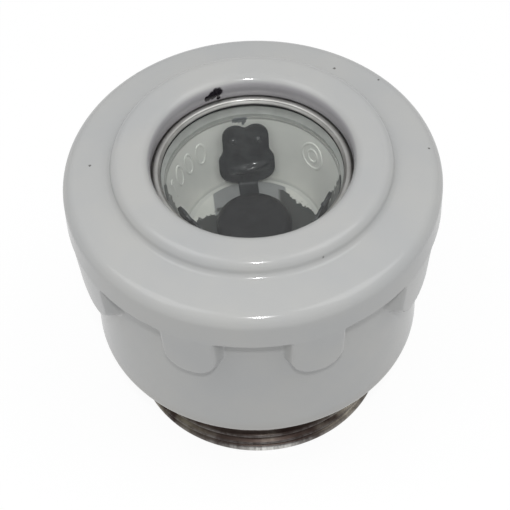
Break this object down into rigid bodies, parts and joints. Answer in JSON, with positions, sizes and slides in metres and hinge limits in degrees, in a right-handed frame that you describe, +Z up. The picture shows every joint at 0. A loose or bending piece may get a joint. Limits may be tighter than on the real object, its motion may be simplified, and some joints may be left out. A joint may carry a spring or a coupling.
{
  "type": "sight glass",
  "caption": "Screw-in sight glass: glazed ceramic cap with grip lugs, a round window in a raised crown, a threaded metal shell and a sprung contact that lifts an indicator button.",
  "frame": {"origin": "middle of the shell's lower rim, on the surface the part stands on", "axes": "+Z up along the screw axis towards the window, -Y to the front"},
  "size_m": [0.068, 0.068, 0.0592],
  "materials": {
    "glaze": "glossy white glaze",
    "bright_steel": "polished",
    "gasket": "matte",
    "pale_seal": "pale grey, matte",
    "glass": "clear, faint green",
    "liner": "pale grey-green",
    "plate_steel": "zinc grey",
    "black_steel": "blackened, glossy",
    "black_plastic": "glossy black",
    "brass": "turned",
    "nickel": "dulled nickel plate",
    "fibre": "pressed fibre",
    "cement": "matte"
  },
  "bodies": {
    "cap": {"ceramic_cap": "glaze", "bezel_ring": "bright_steel", "bezel_gasket": "gasket", "window_glass": "glass", "seat_gasket": "pale_seal", "dial_bowl": "liner", "floor_washer": "plate_steel", "claw_spring": "black_steel", "guide_bush": "brass", "bush_washer": "plate_steel", "bush_nut": "brass", "return_spring": "bright_steel", "thread_shell": "nickel", "shell_gasket": "fibre", "fixing_screws": "plate_steel", "screw_washers": "plate_steel", "fixing_nuts": "plate_steel", "cement_ring": "cement"},
    "contact": {"indicator_button": "black_plastic", "contact_stem": "brass", "contact_disc": "brass", "lock_nut": "brass"}
  },
  "joints": [
    {"name": "contact_slide", "type": "slide", "parent": "cap", "child": "contact", "axis": [0, 0, 1], "range_m": [0, 0.003], "stiffness_N_per_m": 1500, "springref_m": -0.002, "deforming": ["return_spring"]}
  ]
}
